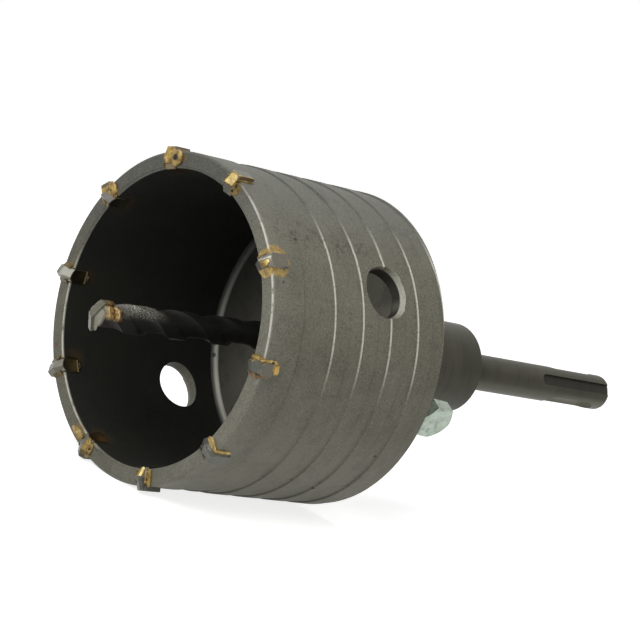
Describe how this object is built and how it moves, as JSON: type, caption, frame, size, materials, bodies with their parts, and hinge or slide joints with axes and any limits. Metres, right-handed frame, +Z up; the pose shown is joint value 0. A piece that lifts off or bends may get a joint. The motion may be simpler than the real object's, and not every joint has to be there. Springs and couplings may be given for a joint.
{
  "type": "core drill bit",
  "caption": "Hollow core bit with a grooved steel cup, brazed carbide teeth, pilot drill and a grooved hammer-drill shank.",
  "frame": {"origin": "on the shank's axis, in the middle of its plain stretch, 16 mm behind the hub", "axes": "+X along the tool's axis from the teeth towards the shank's free end, +Z up with the bit lying on its side"},
  "size_m": [0.1907, 0.0846, 0.0825],
  "materials": {
    "cup_steel": "sandblasted matt grey steel",
    "carbide": "matt sintered carbide",
    "braze": "rough golden braze",
    "arbor_steel": "dark satin turned steel",
    "pilot_steel": "sandblasted near-black steel",
    "copper_braze": "rough copper braze",
    "zinc_plate": "satin zinc plating"
  },
  "bodies": {
    "root": {"cup": "cup_steel", "tooth_01": "carbide", "tooth_02": "carbide", "tooth_03": "carbide", "tooth_04": "carbide", "tooth_05": "carbide", "tooth_06": "carbide", "tooth_07": "carbide", "tooth_08": "carbide", "tooth_09": "carbide", "tooth_10": "carbide", "braze_01": "braze", "braze_02": "braze", "braze_03": "braze", "braze_04": "braze", "braze_05": "braze", "braze_06": "braze", "braze_07": "braze", "braze_08": "braze", "braze_09": "braze", "braze_10": "braze", "arbor": "arbor_steel", "pilot_drill": "pilot_steel", "pilot_tip": "carbide", "pilot_braze": "copper_braze", "lock_bolt": "zinc_plate"}
  },
  "joints": []
}
